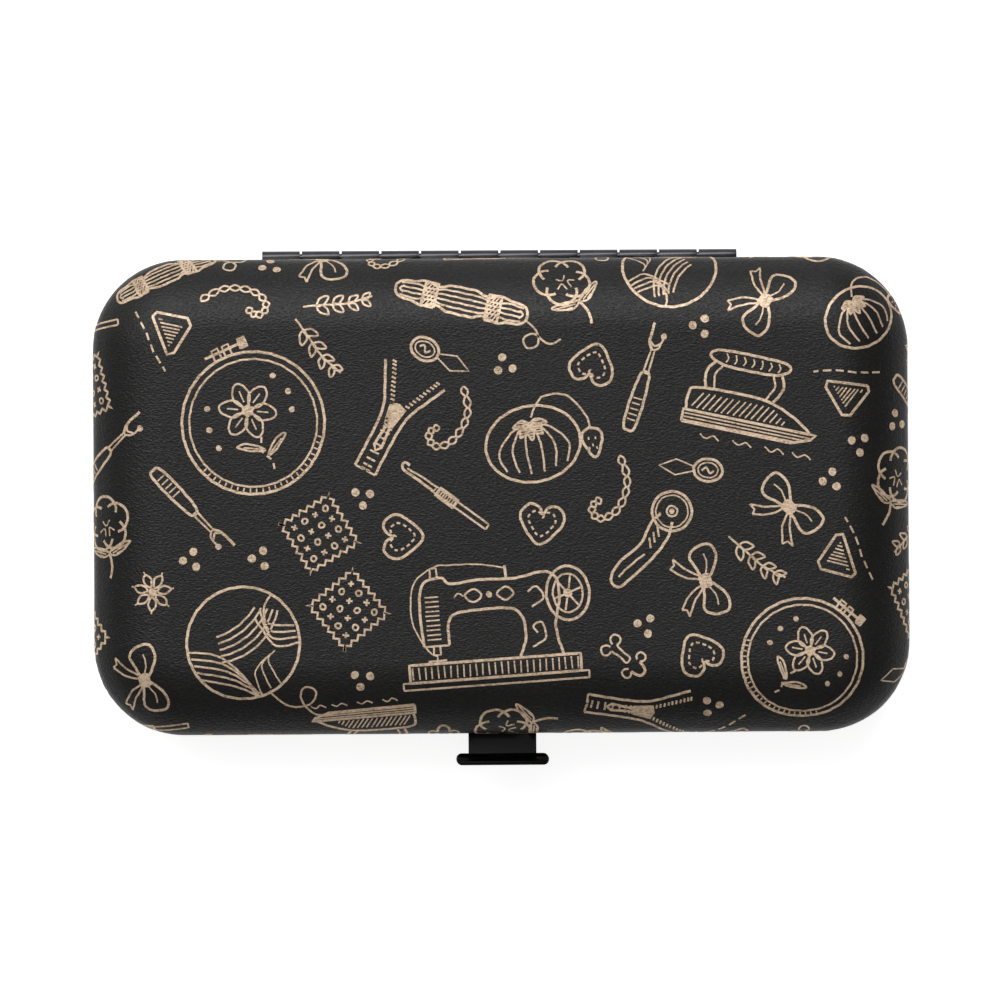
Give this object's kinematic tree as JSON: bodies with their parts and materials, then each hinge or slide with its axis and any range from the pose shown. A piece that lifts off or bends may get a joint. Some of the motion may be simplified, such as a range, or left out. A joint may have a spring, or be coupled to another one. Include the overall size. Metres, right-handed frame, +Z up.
{
  "type": "sewing kit case",
  "caption": "Slim hinged hard-shell case for sewing tools, leather-covered with a foil print, with a knuckled back hinge, a sprung thumb latch, elastic tool loops and a slip pocket.",
  "frame": {"origin": "centre of the base's flat underside, on the surface that the closed case lies on", "axes": "+X along the case, +Y from the latch at the front to the hinge at the back, +Z up through the lid"},
  "size_m": [0.145, 0.0918, 0.025],
  "materials": {
    "black_leather": "fine pebbled grain with rose-gold foil print",
    "shell_plastic": "moulded",
    "black_metal": "gloss black plating",
    "pin_steel": "drawn wire, blackened",
    "spring_steel": "blued strip",
    "black_lining": "brushed tricot",
    "board_card": "covered card",
    "black_elastic": "woven ribs",
    "felt": "pressed wool"
  },
  "bodies": {
    "base": {"base_cover": "black_leather", "base_shell": "shell_plastic", "base_lining": "black_lining", "base_frame": "black_metal", "base_hinge_leaf": "black_metal", "base_leaf_rivets": "black_metal", "hinge_pin": "pin_steel", "latch_pin": "pin_steel", "latch_bracket": "black_metal", "bracket_rivets": "black_metal", "latch_spring": "spring_steel", "tool_board": "board_card", "front_band": "black_elastic", "back_band": "black_elastic", "band_rivets": "black_metal"},
    "lid": {"lid_cover": "black_leather", "lid_shell": "shell_plastic", "lid_lining": "black_lining", "lid_frame": "black_metal", "lid_hinge_leaf": "black_metal", "lid_leaf_rivets": "black_metal", "latch_keeper": "black_metal", "keeper_rivets": "black_metal", "slip_pocket": "black_lining", "pocket_elastic": "black_elastic", "needle_felt": "felt"},
    "latch": {"latch_lever": "black_metal"}
  },
  "joints": [
    {"name": "lid_hinge", "type": "hinge", "parent": "base", "child": "lid", "pos_m": [0, 0.0428, 0.0125], "axis": [-1, 0, 0], "range_deg": [0, 180]},
    {"name": "latch_pivot", "type": "hinge", "parent": "base", "child": "latch", "pos_m": [0, -0.0376, 0.0109], "axis": [1, 0, 0], "range_deg": [0, 13], "stiffness_Nm_per_rad": 0.15, "springref_deg": -8.59, "deforming": ["latch_spring"]}
  ]
}
